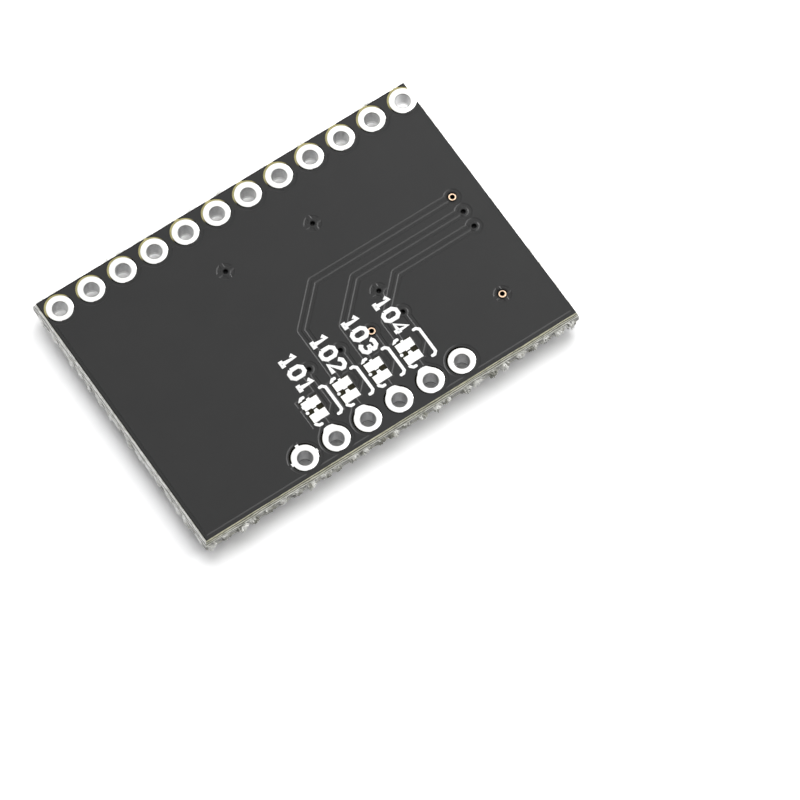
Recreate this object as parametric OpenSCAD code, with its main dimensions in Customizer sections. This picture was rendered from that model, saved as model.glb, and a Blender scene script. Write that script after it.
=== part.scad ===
// Capacitive touch sensor module: a small two-layer circuit board, soldering side up.
// X runs along the hole rows, Y towards the row of twelve touch terminals, and Z up out
// of the soldering side. The board stands on the parts soldered to its underside, and
// the origin is the middle of its footprint at their level.

/* [Board] */
// Distance between the touch row and the supply row
row_gap = 18.421; // [18.2:0.001:20]
// Distance of the touch terminals from the far edge of the lacquered face
touch_inset = 1.144; // [1.12:0.002:1.6]
// Distance of the supply terminals from the near edge
supply_inset = 1.335; // [1.3:0.005:1.8]
// Distance of the first touch terminal from the left edge
left_inset = 1.177; // [1.17:0.001:1.6]
// Distance of the last touch terminal from the right edge, which trims its ring
right_inset = 0.803; // [0.75:0.001:0.85]
// Thickness of the glass-fibre core
board_t = 1.6; // [1.2:0.1:2.4]
// Width of the slope that each scoring groove leaves along an edge
score_w = 0.15; // [0.05:0.01:0.3]
// Depth of the scoring groove in each face
score_h = 0.5; // [0.2:0.05:0.55]
// Angle by which the far scored edge runs off square
far_skew = 0.15; // [0:0.05:0.4]
// How far the torn glass tufts stand out of the broken web
tuft_out = 0.16; // [0.05:0.01:0.3]
// Pitch of the tufts along the near and far edges
tuft_pitch = 1.13; // [0.8:0.01:2]

/* [Terminals] */
// Hole-to-hole distance in both rows
pitch = 2.54; // [2.5:0.01:2.6]
// Finished diameter of each plated hole
hole_d = 1.08; // [0.8:0.02:1.2]
// Outer diameter of the tinned ring round each hole
ring_d = 1.91; // [1.7:0.01:2]
// Thickness of the plating in the holes
plating = 0.025; // [0.015:0.005:0.04]
// Distance of each teardrop's point from the hole axis
teardrop_l = 1.45; // [1.35:0.01:1.6]

/* [Copper] */
// Thickness of the copper foil
copper_t = 0.035; // [0.02:0.005:0.07]
// Thickness of the tin on bare copper
tin_t = 0.02; // [0.01:0.005:0.04]
// Width of the signal traces
trace_w = 0.20; // [0.15:0.01:0.24]
// Width of the traces between the jumpers and the supply terminals
supply_trace_w = 0.40; // [0.3:0.01:0.5]
// Gap between the ground plane and other copper
clearance = 0.29; // [0.2:0.01:0.3]
// Distance of the ground plane from the edge of the lacquered face
plane_inset = 0.32; // [0.2:0.01:0.5]
// Diameter of the hole in each via
via_d = 0.30; // [0.2:0.01:0.4]
// Diameter of the pad round each via
via_pad_d = 0.66; // [0.55:0.01:0.7]
// Width of the four spokes that join a ground pad to the plane
spoke_w = 0.25; // [0.2:0.01:0.3]
// Distance of the three signal vias from the right edge
signal_via_inset = 2.09; // [1.6:0.01:2.6]
// Distance of the first signal via from the touch row
signal_via_drop = 7.946; // [7.6:0.002:8.4]
// Spacing of the signal vias
signal_via_pitch = 1.315; // [1.2:0.005:1.4]

/* [Solder jumpers] */
// Distance of the jumpers from the supply row
jumper_rise = 2.57; // [2.5:0.01:2.8]
// Width of each jumper pad
pad_w = 1.27; // [1.1:0.01:1.35]
// Height of each jumper pad
pad_h = 0.66; // [0.5:0.01:0.7]
// Gap between the two pads of a jumper
pad_gap = 0.40; // [0.3:0.01:0.5]
// Width of the bridge between the two pads
bridge_w = 0.24; // [0.15:0.01:0.3]
// Width of the cut that opens the bridge
cut_w = 0.10; // [0.06:0.01:0.14]
// Height of the cut above the middle of the bridge
cut_rise = 0.07; // [0:0.01:0.08]
// Distance of the pull-up trace and via from the jumper's middle
pull_up_x = 1.27; // [1.2:0.01:1.35]
// Height of the pull-up vias above the jumpers
pull_up_rise = 2.67; // [2.4:0.01:2.9]
// Height of the first trace's lower bend above its jumper
bend_rise = 5.31; // [5:0.01:5.6]
// How much lower each following trace bends
bend_step = 1.295; // [1.2:0.005:1.4]

/* [Lacquer and legend] */
// Thickness of the solder mask over copper
mask_t = 0.025; // [0.015:0.005:0.04]
// Gap that the mask leaves round a terminal's ring
ring_mask_gap = 0.095; // [0.09:0.005:0.12]
// Narrowest strip of mask that holds between a touch ring and the far edge
least_web = 0.071; // [0.05:0.001:0.08]
// Gap that the mask leaves round a jumper or a land
pad_mask_gap = 0.06; // [0.06:0.01:0.12]
// Width of bare copper where the mask stays off a via
bare_via_w = 0.12; // [0.06:0.01:0.14]
// Sideways offset of the mask from the copper, along X
mask_shift_x = -0.015; // [-0.04:0.005:0.04]
// Sideways offset of the mask from the copper, along Y
mask_shift_y = 0.045; // [0:0.005:0.045]
// Width of the slope where the mask sinks beside copper
mask_slope = 0.06; // [0.03:0.01:0.06]
// Thickness of the legend ink
ink_t = 0.02; // [0.01:0.005:0.04]
// Line width of the legend
ink_w = 0.22; // [0.15:0.01:0.26]
// Sideways offset of the legend from the copper, along X
legend_shift = 0.44; // [0.4:0.01:0.5]
// Half the distance between the two brackets of a jumper
bracket_x = 1.03; // [1:0.005:1.06]
// Half the height of a bracket
bracket_h = 1.15; // [1.1:0.01:1.2]
// Length of the hooks at a bracket's ends
hook_l = 0.36; // [0.3:0.01:0.4]

/* [Soldered parts] */
// Side of the square sensor chip
chip_w = 3.0; // [2.9:0.05:3.1]
// Height of the sensor chip
chip_t = 0.85; // [0.6:0.05:1]
// Place of the sensor chip along X
chip_x = 0.4; // [0.2:0.1:0.6]
// Place of the sensor chip along Y
chip_y = 2.2; // [2.1:0.1:2.3]
// Pitch of the chip's contacts
lead_pitch = 0.40; // [0.38:0.01:0.42]
// Width of each contact
lead_w = 0.20; // [0.15:0.01:0.22]
// Length of each contact under the chip
lead_l = 0.40; // [0.3:0.02:0.5]
// Length of each capacitor and resistor
part_l = 1.60; // [1.5:0.05:1.7]
// Width of each capacitor and resistor
part_w = 0.80; // [0.7:0.05:0.9]
// Height of the capacitors
capacitor_t = 0.85; // [0.6:0.05:1]
// Height of the resistors
resistor_t = 0.45; // [0.35:0.05:0.55]
// Length of the metal ends of a capacitor or resistor
end_l = 0.32; // [0.25:0.01:0.4]
// Thickness of the chip's contacts and heat pad
lead_t = 0.20; // [0.1:0.02:0.25]
// Side of the heat pad under the chip
heat_pad_w = 1.70; // [1.5:0.05:1.8]
// Thickness of the solder under each part
solder_t = 0.03; // [0.02:0.005:0.05]
// How far the solder spreads past the end of a part
toe_l = 0.30; // [0.2:0.01:0.4]

/* [Hidden] */
touch_count = 12;
supply_count = 6;
jumper_count = 4;
capacitor_count = 3;
resistor_count = 5;
$fn = 48;
// How far a cut reaches past what it cuts
over = 1;

// Levels, from the plane that the part stands on upwards
front_z = max(chip_t, capacitor_t) + solder_t + copper_t;
rear_z = front_z + board_t;
seat_z = front_z - copper_t - solder_t;
film_t = copper_t + mask_t;
end_t = 0.02;
land_t = copper_t + tin_t;
// How far the chip's lands reach out past its contacts, and the stubs into the plane
land_out = 0.25;
plane_stub = 1.2;
// How far signal line 3 and the bias line run on before they bend, and the core supply
// line, and how far the chip's ground line and the smoothing capacitor's feed reach
third_run = 1.3;
bias_run = 0.8;
core_run = 0.8;
ground_run = 3.3;
feed_run = 3;

// The outline of the board, with both rows off the middle by half the insets' difference
face_w = (touch_count - 1) * pitch + left_inset + right_inset;
face_d = touch_inset + row_gap + supply_inset;
row_shift = (left_inset - right_inset) / 2;
board_w = face_w + 2 * score_w;
board_d = face_d + 2 * score_w;
web_t = board_t - 2 * score_h;
tuft_w = 0.5 * tuft_pitch;
tuft_t = 0.45 * web_t;
tufts = floor((board_w - 2 * tuft_pitch) / tuft_pitch / 2);

// Radii of a terminal, from the hole outwards
hole_r = hole_d / 2;
drill_r = hole_r + plating;
ring_r = ring_d / 2;
opening_r = ring_r + ring_mask_gap;
via_r = via_d / 2;
via_drill_r = via_r + plating;
via_pad_r = via_pad_d / 2;
lip = 0.06;
jumper_l = pad_gap + 2 * pad_h;
reach = 1.1 * clearance;

// Places of the terminals, jumpers and vias
touch_y = face_d / 2 - touch_inset;
supply_y = supply_inset - face_d / 2;
jumper_y = supply_y + jumper_rise;
pad_y = (pad_gap + pad_h) / 2;
// The ground planes end where the tongue between two rings is a spoke's width
tongue = (pitch - spoke_w) / 2;
plane_top = touch_y - sqrt(max(0, pow(ring_r + clearance, 2) - tongue * tongue));
signal_via_x = face_w / 2 - signal_via_inset;
pull_up_y = jumper_y + pull_up_rise;
// The first pull-up trace runs a little closer to its jumper than the others
first_pull_up_x = pull_up_x - 0.27;
pull_up_bend = 0.15;
// Places of the vias that join the ground planes, chosen beside the parts that they serve:
// two below the touch row, and two over the jumpers and beside them
ground_via_places = [
    [touch_x(5.245), touch_y - 1.567 * pitch],
    [touch_x(7.958), touch_y - 1.685 * pitch],
    [jumper_x(4.316), pull_up_y + 0.866 * pitch],
    [face_w / 2 - 1.323 * pitch, jumper_y]];

// Places of the parts on the underside: middle X, middle Y and turn. The chosen ones
// are the regulator's, the bulk and the smoothing capacitor, then four pull-ups and the
// bias resistor.
rail_y = jumper_y - 0.455;
regulator_place = [-3.6, chip_y - 2.8, 0];
bulk_place = [-9.0, rail_y, 0];
smoothing_place = [face_w / 2 - 3.36, jumper_y + 1.45, 90];
bias_place = [3.1, pull_up_y + 2.2, 0];
capacitor_places = [regulator_place, bulk_place, smoothing_place];
resistor_places = concat(
    [for (i = [1:jumper_count]) [pull_up_via_x(i), jumper_y + 1.15, 90]],
    [bias_place]);
// Heights above the chip at which the middle five touch lines turn along X
touch_levels = [0.6, 1.0, 2.6, 2.2, 0.6];
// Turns of the spokes on the parts side, where lines pass close by
front_turns = [[0, 90], [0, 180], [0, 270], [0, 180, 270]];
// Turns of the first supply terminal's spokes
terminal_turns = [0, 90, 180];

function touch_x(i) = row_shift + (i - (touch_count + 1) / 2) * pitch;
function supply_x(i) = row_shift + (i - (supply_count + 1) / 2) * pitch;
function jumper_x(i) = supply_x(i + 1);
function pull_up_via_x(i) = jumper_x(i) + pull_up_x;
function signal_via_y(i) = touch_y - signal_via_drop - (i - 1) * signal_via_pitch;
function pull_up_trace_x(i) = jumper_x(i) + (i == 1 ? first_pull_up_x : pull_up_x);

// Route of signal trace i, from its via along X, down at 45 degrees, then to its jumper
function signal_route(i) = let (
    x = jumper_x(i + 1),
    low = jumper_y + bend_rise - (i - 1) * bend_step,
    y = signal_via_y(i))
    [[signal_via_x, y], [x + y - low, y], [x, low], [x, jumper_y + pad_y]];

// Route of pull-up trace i, from its via down beside the jumper to the lower pad
function pull_up_route(i) = let (x = pull_up_trace_x(i), side = jumper_x(i) + pad_w / 2)
    [[pull_up_via_x(i), pull_up_y],
     [x, pull_up_y - (pull_up_via_x(i) - x) - pull_up_bend],
     [x, jumper_y - pad_y + x - side],
     [side - trace_w, jumper_y - pad_y - trace_w]];

// A straight stroke with round ends
module stroke(from, to, width) {
    run = to - from;
    translate(from) rotate(atan2(run.y, run.x)) translate([0, -width / 2]) square([norm(run), width]);
    translate(from) circle(d = width);
    translate(to) circle(d = width);
}

module path(points, width) {
    for (i = [1:len(points) - 1]) stroke(points[i - 1], points[i], width);
}

// Face outline, with its far edge turned by the skew, shrunk by an inset
module face(inset = 0) {
    x = face_w / 2 - inset;
    y = face_d / 2 - inset;
    rise = x * tan(far_skew);
    polygon([[-x, -y], [x, -y], [x, y - rise], [-x, y + rise]]);
}

// A ring that narrows to a point towards +Y, grown all round
module teardrop(grow = 0) {
    circle(r = ring_r + grow);
    teardrop_point(grow);
}

module teardrop_point(grow = 0) {
    r = ring_r + grow;
    tip = teardrop_l + grow;
    lean = acos(r / tip);
    polygon([[r * sin(lean), r * cos(lean)], [0, tip], [-r * sin(lean), r * cos(lean)]]);
}

module at_touch_terminals() {
    for (i = [1:touch_count]) translate([touch_x(i), touch_y]) children();
}

module at_supply_terminals() {
    for (i = [1:supply_count]) translate([supply_x(i), supply_y]) children();
}

module at_signal_vias() {
    for (i = [1:3]) translate([signal_via_x, signal_via_y(i)]) children();
    for (i = [1:jumper_count]) translate([pull_up_via_x(i), pull_up_y]) children();
}

module at_ground_vias() {
    for (place = ground_via_places) translate(place) children();
}

// Copper lines of the soldering side, grown all round
module rear_lines(grow = 0) {
    for (i = [1:3]) path(signal_route(i), trace_w + 2 * grow);
    for (i = [1:jumper_count]) {
        path(pull_up_route(i), trace_w + 2 * grow);
        path([[jumper_x(i), jumper_y - pad_y], [jumper_x(i), supply_y + ring_r]], supply_trace_w + 2 * grow);
    }
}

// Copper of the terminals, vias and jumper pads on the soldering side, grown all round
module rear_pads(grow = 0) {
    at_touch_terminals() circle(r = ring_r + grow);
    for (i = [1:supply_count]) translate([supply_x(i), supply_y]) {
        if (i > 1 && i < supply_count) teardrop(grow);
        else circle(r = ring_r + grow);
    }
    at_signal_vias() circle(r = via_pad_r + grow);
    at_ground_vias() circle(r = via_pad_r + grow);
    for (i = [1:jumper_count]) translate([jumper_x(i), jumper_y])
        square([pad_w + 2 * grow, jumper_l + 2 * grow], center = true);
}

// Spokes that join a ground pad to the plane
module spokes(inner_r, outer_r, width, turns = [0, 90, 180, 270]) {
    for (turn = turns) rotate(turn) translate([inner_r, -width / 2]) square([outer_r - inner_r, width]);
}

// On the ground vias, each with its own turns, and on the first supply terminal, which has
// no copper below it
module via_and_terminal_spokes(turns, grow) {
    for (i = [0:len(turns) - 1]) translate(ground_via_places[i])
        spokes(via_pad_r - lip, via_pad_r + reach, spoke_w + 2 * grow, turns[i]);
    translate([supply_x(1), supply_y])
        spokes(ring_r - lip, ring_r + reach, spoke_w + 2 * grow, terminal_turns);
}

// Spokes of the soldering side: those and two on the first jumper, to the left and upwards
module rear_spokes(grow = 0) {
    via_and_terminal_spokes([for (place = ground_via_places) [0, 90, 180, 270]], grow);
    translate([jumper_x(1), jumper_y + pad_y]) {
        spokes(pad_w / 2 - lip, pad_w / 2 + reach, spoke_w + 2 * grow, [180]);
        spokes(pad_h / 2 - lip, pad_h / 2 + reach, spoke_w + 2 * grow, [90]);
    }
}

// Outline of the ground plane before its gaps: it stops below the touch row
module plane_outline(grow = 0) {
    inset = plane_inset - grow;
    translate([inset - face_w / 2, inset - face_d / 2])
        square([face_w - 2 * inset, plane_top + grow + face_d / 2 - inset]);
}

// Glass-fibre core: scored along all four edges and snapped out of its panel
module woven_glass_core() {
    color("darkkhaki") difference() {
        union() {
            translate([0, 0, front_z]) scored_blank();
            translate([0, 0, front_z + score_h]) torn_tufts();
        }
        translate([0, 0, front_z - over]) linear_extrude(board_t + 2 * over) {
            at_touch_terminals() circle(r = drill_r);
            at_supply_terminals() circle(r = drill_r);
            at_signal_vias() circle(r = via_drill_r);
            at_ground_vias() circle(r = via_drill_r);
        }
    }
}

// Blank inside its four scored edges: near, far and skewed, then left and right
module scored_blank() {
    spare = 10;
    intersection() {
        translate([0, spare / 2, 0]) scored_bar(2 * board_w, board_d + spare);
        rotate(-far_skew) translate([0, -spare / 2, 0]) scored_bar(2 * board_w, board_d + spare);
        rotate(90) scored_bar(2 * board_w, board_w);
    }
}

// A bar along X with a scored and broken edge on both sides
module scored_bar(length, depth) {
    y = depth / 2;
    rotate([90, 0, 90]) translate([0, 0, -length / 2]) linear_extrude(length) polygon([
        [score_w - y, 0], [y - score_w, 0], [y, score_h], [y, board_t - score_h],
        [y - score_w, board_t], [score_w - y, board_t], [-y, board_t - score_h], [-y, score_h]]);
}

// Yarn ends that the break pulled out of the web, along the near and far edges
module torn_tufts() {
    for (i = [-tufts:tufts]) {
        translate([i * tuft_pitch, -board_d / 2, 0]) tuft(tuft_out * (1 - 0.25 * abs(sin(i * 77))));
        translate([i * tuft_pitch, board_d / 2 - i * tuft_pitch * tan(far_skew), 0])
            rotate(180) tuft(tuft_out * (1 - 0.25 * abs(sin(i * 77))));
    }
}

module tuft(out) {
    root = 0.3 * tuft_w;
    linear_extrude(tuft_t) polygon([
        [-tuft_w / 2, root], [-tuft_w / 2, 0], [-tuft_w / 3, -out], [tuft_w / 4, -out],
        [tuft_w / 2, 0], [tuft_w / 2, root]]);
}

// Copper plane of the soldering side, with its gaps round every other conductor
module rear_ground_plane() {
    color("peru") translate([0, 0, rear_z]) linear_extrude(copper_t) difference() {
        rear_plane_area();
        at_ground_vias() circle(r = via_pad_r);
        translate([supply_x(1), supply_y]) ring_opening();
        translate([jumper_x(1), jumper_y]) jumper_opening();
    }
}

module rear_plane_area(grow = 0) {
    difference() {
        plane_outline(grow);
        difference() {
            union() {
                rear_lines(clearance - grow);
                rear_pads(clearance - grow);
            }
            rear_spokes(grow);
        }
        stranded_patches();
    }
}

// Where the gaps would cut copper off from every ground via, none is left: round the middle
// two supply terminals, and between the last jumper's two traces
module stranded_patches() {
    translate([supply_x(3), -face_d]) square([2 * pitch, face_d + jumper_y]);
    x = jumper_x(jumper_count);
    low = signal_route(jumper_count - 1)[2].y;
    via = [pull_up_via_x(jumper_count), pull_up_y];
    rise = (via.x - x + via.y - low) / 2;
    polygon([[x, jumper_y], [x, low], [x + rise, low + rise], via, [via.x, jumper_y]]);
}

// Copper lines of the soldering side, as far as they lie under the mask
module rear_traces() {
    color("peru") translate([0, 0, rear_z]) linear_extrude(copper_t) difference() {
        union() {
            rear_lines();
            for (i = [2:supply_count - 1]) translate([supply_x(i), supply_y]) teardrop();
        }
        at_supply_terminals() ring_opening();
        at_signal_vias() circle(r = via_pad_r);
        at_jumpers() jumper_opening();
    }
}

module ring_opening() {
    translate([mask_shift_x, mask_shift_y]) circle(r = opening_r);
}

module jumper_opening() {
    translate([mask_shift_x, mask_shift_y])
        square([pad_w + 2 * pad_mask_gap, jumper_l + 2 * pad_mask_gap], center = true);
}

module at_jumpers() {
    for (i = [1:jumper_count]) translate([jumper_x(i), jumper_y]) children();
}

// Vias that the soldering side's mask leaves bare
module at_bare_vias() {
    translate([signal_via_x, signal_via_y(1)]) children();
    translate([jumper_x(3) + pull_up_x, pull_up_y]) children();
    translate(ground_via_places[3]) children();
}

// Film of the soldering side: it wraps the copper, sinks between it and leaves the pads bare
module rear_solder_mask() {
    color([0.2, 0.2, 0.2]) difference() {
        translate([0, 0, rear_z]) linear_extrude(film_t) rear_mask_area();
        rear_ground_plane();
        rear_traces();
        signal_vias();
        ground_vias();
        translate([0, 0, rear_z + mask_t]) linear_extrude(film_t) difference() {
            face(-over);
            rear_plane_area(mask_slope);
            rear_lines(mask_slope);
            rear_pads(mask_slope);
        }
    }
}

module rear_mask_area() {
    difference() {
        face();
        at_touch_terminals() ring_opening();
        broken_webs();
        at_supply_terminals() ring_opening();
        at_jumpers() jumper_opening();
        at_signal_vias() circle(r = via_r);
        at_ground_vias() circle(r = via_r);
        at_bare_vias() circle(r = via_r + bare_via_w);
    }
}

// White brackets printed round the jumpers, a little off to the right, so that the left
// ones run over the pads: of their lines only a dot in each gap is left there
module rear_legend() {
    color("white") {
        translate([0, 0, rear_z + film_t]) linear_extrude(ink_t) difference() {
            at_jumpers() brackets();
            at_jumpers() jumper_opening();
            at_supply_terminals() ring_opening();
        }
        translate([0, 0, rear_z]) linear_extrude(ink_t) at_jumpers()
            translate([legend_shift - bracket_x, pad_gap / 8]) circle(d = 1.1 * ink_w);
    }
}

module brackets() {
    translate([legend_shift, 0]) for (side = [0, 1]) mirror([side, 0]) path([
        [bracket_x - hook_l, bracket_h], [bracket_x - hook_l / 2, bracket_h],
        [bracket_x, bracket_h - hook_l / 2], [bracket_x, hook_l / 2 - bracket_h],
        [bracket_x - hook_l / 2, -bracket_h], [bracket_x - hook_l, -bracket_h]], ink_w);
}

// Plated hole with a tinned ring on both faces
module terminal() {
    rotate_extrude() polygon([
        [hole_r, front_z], [hole_r + lip, front_z - land_t], [ring_r - lip, front_z - land_t],
        [ring_r, front_z - copper_t], [ring_r, front_z], [drill_r, front_z], [drill_r, rear_z],
        [ring_r, rear_z], [ring_r, rear_z + copper_t], [ring_r - lip, rear_z + land_t],
        [hole_r + lip, rear_z + land_t], [hole_r, rear_z]]);
}

// Every touch line ends in a stub on the parts side, and the scored edge trims the ring
// that reaches past it
module touch_terminal(i) {
    color("gainsboro") difference() {
        translate([touch_x(i), touch_y, 0]) {
            terminal();
            translate([0, 0, front_z - land_t]) tinned_stubs() spokes(ring_r - lip, 2 * ring_r, trace_w, [270]);
        }
        translate([face_w / 2, 0, 0]) cube([pitch, face_d, rear_z + over]);
    }
}

// The first supply terminal joins both planes by spokes, the middle four have teardrops,
// and the last one feeds the rail on the parts side
module supply_terminal(i) {
    color("gainsboro") translate([supply_x(i), supply_y, 0]) {
        terminal();
        if (i == 1) for (z = [front_z - land_t, rear_z]) translate([0, 0, z])
            tinned_stubs() spokes(ring_r - lip, 2 * ring_r, spoke_w, terminal_turns);
        else if (i < supply_count) translate([0, 0, rear_z]) tinned_stubs() teardrop_point(-lip / 2);
        else translate([0, 0, front_z - land_t]) tinned_stubs() spokes(ring_r - lip, 2 * ring_r, supply_trace_w, [90]);
    }
}

// As much of its children as the mask round a terminal leaves bare
module tinned_stubs() {
    linear_extrude(land_t) intersection() {
        children();
        ring_opening();
    }
}

// Two tinned pads and what the cut leaves of the narrow bridge between them
module solder_jumper(i) {
    color("gainsboro") translate([0, 0, rear_z]) linear_extrude(land_t) intersection() {
        union() {
            translate([jumper_x(i), jumper_y]) {
                for (side = [-1, 1]) translate([0, side * pad_y]) square([pad_w, pad_h], center = true);
                cut_bridge();
            }
            if (i == 1) rear_spokes();
            rear_lines();
        }
        translate([jumper_x(i), jumper_y]) jumper_opening();
    }
}

// The bridge is waisted, and its cut lies nearer to the upper pad
module cut_bridge() {
    y = pad_gap / 2;
    foot = 0.75 * bridge_w;
    difference() {
        polygon([
            [-foot, -y - lip], [foot, -y - lip], [foot, -y], [bridge_w / 2, 0], [foot, y],
            [foot, y + lip], [-foot, y + lip], [-foot, y], [-bridge_w / 2, 0], [-foot, -y]]);
        translate([0, cut_rise]) square([2 * pad_gap, cut_w], center = true);
    }
}

module via() {
    difference() {
        union() {
            translate([0, 0, front_z]) cylinder(r = via_drill_r, h = board_t);
            translate([0, 0, front_z - copper_t]) cylinder(r = via_pad_r, h = copper_t);
            translate([0, 0, rear_z]) cylinder(r = via_pad_r, h = copper_t);
        }
        translate([0, 0, front_z - over]) cylinder(r = via_r, h = board_t + 2 * over);
    }
}

module signal_vias() {
    color("coral") at_signal_vias() via();
}

module ground_vias() {
    color("coral") at_ground_vias() via();
}

// End of contact n on one side of the chip: 0 left, 1 far, 2 right, 3 near
function chip_pin(side, n) = let (along = (n - 3) * lead_pitch, out = chip_w / 2)
    side == 0 ? [chip_x - out, chip_y + along]
    : side == 1 ? [chip_x + along, chip_y + out]
    : side == 2 ? [chip_x + out, chip_y - along]
    : [chip_x - along, chip_y - out];

// The outer four touch lines on the left and three on the right leave the chip sideways,
// and the middle five leave it upwards
function touch_route(i) =
    i <= 4 ? let (pin = chip_pin(0, i + 1)) [pin, [touch_x(i), pin.y], [touch_x(i), touch_y]]
    : i >= 10 ? let (pin = chip_pin(2, i - 9)) [pin, [touch_x(i), pin.y], [touch_x(i), touch_y]]
    : let (pin = chip_pin(1, i - 4), level = pin.y + touch_levels[i - 5])
        [pin, [pin.x, level], [touch_x(i), level], [touch_x(i), touch_y]];

// From the contact along X, then down at 45 degrees to signal via i
function via_route(from, i) = let (
    to = [signal_via_x, signal_via_y(i)],
    bend = to.x - via_pad_r)
    [from, [bend - abs(from.y - to.y), from.y], [bend, to.y], to];

// Signal line 3 leaves the chip downwards, and so does the line to the bias resistor
third_route = concat([chip_pin(3, 1)], via_route(chip_pin(3, 1) + [third_run, -third_run], 3));
bias_route = let (pin = chip_pin(3, 2))
    [pin, [pin.x, bias_place.y + bias_run], [pin.x + bias_run, bias_place.y], part_end(bias_place, -1)];

// Middle of the land under a part's left end (side -1) or right end (side 1)
function part_end(place, side) = let (out = side * (part_l - end_l + toe_l) / 2)
    [place.x + out * cos(place.z), place.y + out * sin(place.z)];

// Signal lines and the supply rail of the parts side
module front_lines(grow = 0) {
    thin = trace_w + 2 * grow;
    thick = supply_trace_w + 2 * grow;
    for (i = [1:touch_count]) path(touch_route(i), thin);
    path(via_route(chip_pin(2, 4), 1), thin);
    path(via_route(chip_pin(2, 5), 2), thin);
    path(third_route, thin);
    path(bias_route, thin);
    feed_pin = chip_pin(3, 4);
    feed_y = rail_y + 1.89 * pitch;
    path([feed_pin, [feed_pin.x, feed_y], [jumper_x(2), feed_y - feed_pin.x + jumper_x(2)],
          [jumper_x(2), rail_y]], thin);
    address_pin = chip_pin(3, 5);
    path([address_pin, [address_pin.x, pull_up_y + address_pin.x - pull_up_via_x(1)],
          [pull_up_via_x(1), pull_up_y]], thin);
    core_pin = chip_pin(0, 1) - [core_run, 0];
    core_end = part_end(regulator_place, 1);
    path([chip_pin(0, 1), core_pin, [core_end.x, core_pin.y + core_end.x - core_pin.x], core_end], thin);
    for (i = [1:jumper_count]) {
        path([[pull_up_via_x(i), pull_up_y], part_end(resistor_places[i - 1], 1)], thin);
        path([part_end(resistor_places[i - 1], -1), [pull_up_via_x(i), rail_y]], thick);
    }
    path([part_end(bulk_place, 1), [supply_x(supply_count), rail_y], [supply_x(supply_count), supply_y]], thick);
    rise_x = smoothing_place.x - feed_run;
    path([[supply_x(supply_count), rail_y], [rise_x, rail_y], [rise_x, part_end(smoothing_place, 1).y],
          part_end(smoothing_place, 1)], thick);
}

// Joints between the ground plane of the parts side and what it serves
module front_ground_stubs(grow = 0) {
    thin = trace_w + 2 * grow;
    thick = supply_trace_w + 2 * grow;
    via_and_terminal_spokes(front_turns, grow);
    path([chip_pin(3, 3), chip_pin(3, 3) - [0, ground_run]], thin);
    for (place = [regulator_place, bulk_place])
        path([part_end(place, -1), part_end(place, -1) - [plane_stub, 0]], thick);
    path([part_end(smoothing_place, -1), ground_via_places[3]], thick);
    path([part_end(bias_place, 1), ground_via_places[2]], thin);
}

// The plane fills the board up to the first touch line and the third signal line, and the
// two pockets between touch lines that have a ground via
module front_plane_area(grow = 0) {
    left = plane_inset - face_w / 2 - grow;
    foot = plane_inset - face_d / 2 - grow;
    top = plane_top + grow;
    first_y = chip_pin(0, 2).y;
    low_y = touch_route(9)[1].y;
    difference() {
        union() {
            polygon([
                [left, foot], [-left, foot], [-left, third_route[4].y], third_route[4], third_route[3],
                third_route[2], [bias_place.x, third_route[1].y], [bias_place.x, bias_place.y],
                bias_route[2], bias_route[1], bias_route[0], [chip_x, chip_y],
                [touch_x(1), first_y], [left, first_y]]);
            polygon([
                [touch_x(5), low_y], [touch_x(6), low_y], [touch_x(6), top], [touch_x(5), top]]);
            polygon([
                [chip_pin(1, 4).x, low_y], [touch_x(9), low_y], [touch_x(9), top], [touch_x(8), top],
                touch_route(8)[2], touch_route(8)[1]]);
        }
        difference() {
            union() {
                front_lines(clearance - grow);
                front_pads(clearance - grow);
            }
            front_ground_stubs(grow);
        }
    }
}

module front_pads(grow = 0) {
    at_touch_terminals() circle(r = ring_r + grow);
    at_supply_terminals() circle(r = ring_r + grow);
    at_signal_vias() circle(r = via_pad_r + grow);
    at_ground_vias() circle(r = via_pad_r + grow);
    front_land_areas(grow);
}

// Copper plane of the parts side
module front_ground_plane() {
    color("peru") translate([0, 0, front_z - copper_t]) linear_extrude(copper_t) difference() {
        front_plane_area();
        at_ground_vias() circle(r = via_pad_r);
        translate([supply_x(1), supply_y]) ring_opening();
        front_land_areas();
    }
}

// Bare lands under the chip's contacts, its heat pad and the other parts' ends
module front_land_areas(grow = 0) {
    at_chip_contacts() translate([-lead_l - grow, -lead_w / 2 - grow])
        square([lead_l + land_out + 2 * grow, lead_w + 2 * grow]);
    translate([chip_x, chip_y]) square(heat_pad_w + 2 * grow, center = true);
    for (place = concat(capacitor_places, resistor_places)) translate([place.x, place.y]) rotate(place.z)
        for (side = [0, 1]) mirror([side, 0]) translate([part_l / 2 - end_l - grow, -part_w / 2 - grow])
            square([end_l + toe_l + 2 * grow, part_w + 2 * grow]);
}

module at_chip_contacts() {
    for (side = [0:3]) translate([chip_x, chip_y]) rotate(90 * side) for (n = [-2:2])
        translate([chip_w / 2, n * lead_pitch]) children();
}

module front_lands() {
    color("gainsboro") translate([0, 0, front_z - copper_t]) linear_extrude(copper_t) front_land_areas();
}

// Copper lines of the parts side: touch lines, signals and the supply rail
module front_traces() {
    color("peru") translate([0, 0, front_z - copper_t]) linear_extrude(copper_t) difference() {
        front_lines();
        front_land_areas();
        at_touch_terminals() ring_opening();
        at_supply_terminals() ring_opening();
        at_signal_vias() circle(r = via_pad_r);
    }
}

// Film of the parts side, made in the same way
module front_solder_mask() {
    color([0.2, 0.2, 0.2]) difference() {
        translate([0, 0, front_z - film_t]) linear_extrude(film_t) front_mask_area();
        front_ground_plane();
        front_traces();
        signal_vias();
        ground_vias();
        translate([0, 0, front_z - mask_t - film_t]) linear_extrude(film_t) difference() {
            face(-over);
            front_plane_area(mask_slope);
            front_lines(mask_slope);
            front_pads(mask_slope);
        }
    }
}

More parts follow.
